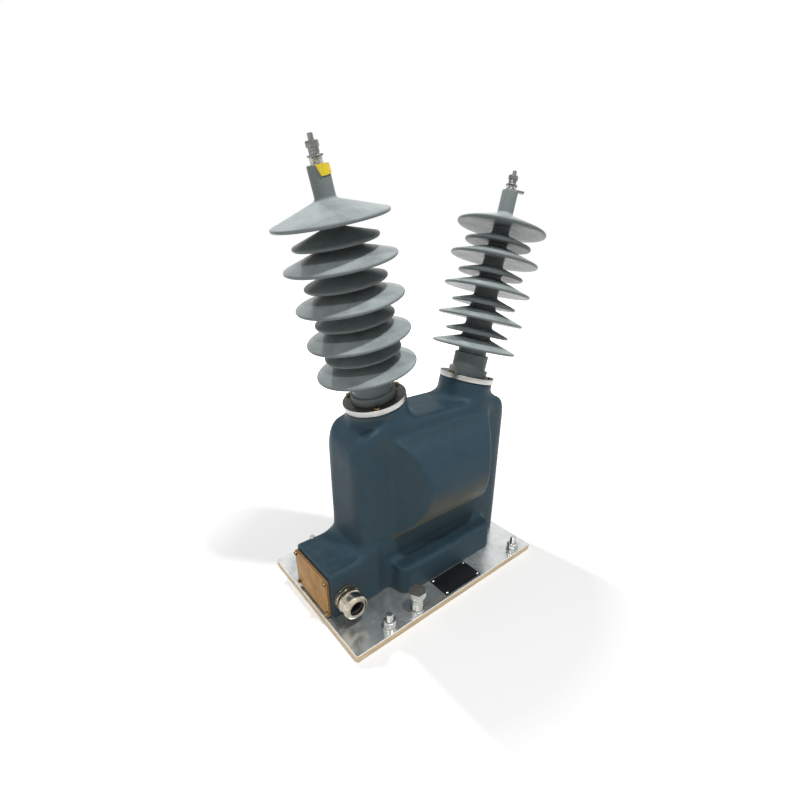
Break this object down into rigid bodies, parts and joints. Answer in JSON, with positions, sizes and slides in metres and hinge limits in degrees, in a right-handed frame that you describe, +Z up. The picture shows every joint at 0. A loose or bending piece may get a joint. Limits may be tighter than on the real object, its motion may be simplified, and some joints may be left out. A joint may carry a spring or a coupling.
{
  "type": "outdoor instrument transformer",
  "caption": "Resin-cast outdoor instrument transformer on a flat base plate, with shed bushings set in a V, a covered terminal box with a cable gland, and an earth terminal.",
  "frame": {"origin": "centre of the base plate's underside", "axes": "+Z up, +X along the plate away from the terminal box, -Y towards the front with the cable gland"},
  "size_m": [0.4747, 0.28, 0.6706],
  "materials": {
    "plate": "galvanised, cloudy grey",
    "resin": "satin dark blue-grey cast resin",
    "core": "stacked steel laminations",
    "winding": "enamelled copper wire",
    "lead": "insulated wire",
    "shed": "matt mid-grey silicone rubber",
    "gasket": "black sheet rubber",
    "ring": "bright turned metal",
    "flange_screw": "yellow plated",
    "conductor": "plain brass",
    "sleeve": "cream moulding",
    "zinc": "zinc plated",
    "marker": "plain yellow band",
    "cover": "tan coated sheet with darker blotches",
    "cover_screw": "plain brass",
    "nickel": "nickel plated",
    "black_plate": "bare black sheet",
    "rivet": "plain"
  },
  "bodies": {
    "root": {"base_plate": "plate", "resin_body": "resin", "iron_core": "core", "primary_winding": "winding", "secondary_winding": "winding", "secondary_leads": "lead", "bushing_left": "shed", "bushing_right": "shed", "bushing_gasket_left": "gasket", "bushing_gasket_right": "gasket", "flange_ring_left": "ring", "flange_ring_right": "ring", "flange_screws_left": "flange_screw", "flange_screws_right": "flange_screw", "conductor_left": "conductor", "conductor_right": "conductor", "terminal_sleeve_left": "sleeve", "terminal_sleeve_right": "sleeve", "tab_washer_right": "zinc", "neck_marker_left": "marker", "terminal_washer_left": "zinc", "terminal_washer_right": "zinc", "terminal_spring_washer_left": "zinc", "terminal_spring_washer_right": "zinc", "terminal_nut_left": "zinc", "terminal_nut_right": "zinc", "terminal_cover": "cover", "cover_gasket": "gasket", "cover_screws": "cover_screw", "secondary_studs": "conductor", "secondary_washers": "conductor", "secondary_nuts": "conductor", "gland_body": "nickel", "gland_lock_nut": "nickel", "gland_seal": "gasket", "gland_cap": "nickel", "base_studs": "zinc", "base_washers": "zinc", "base_spring_washers": "zinc", "base_nuts": "zinc", "bare_plate": "black_plate", "bare_plate_rivets": "rivet", "earth_stud": "zinc", "earth_washer": "zinc", "earth_long_nut": "zinc", "earth_clamp_nut": "nickel", "body_inserts": "conductor", "body_screws": "zinc"}
  },
  "joints": []
}
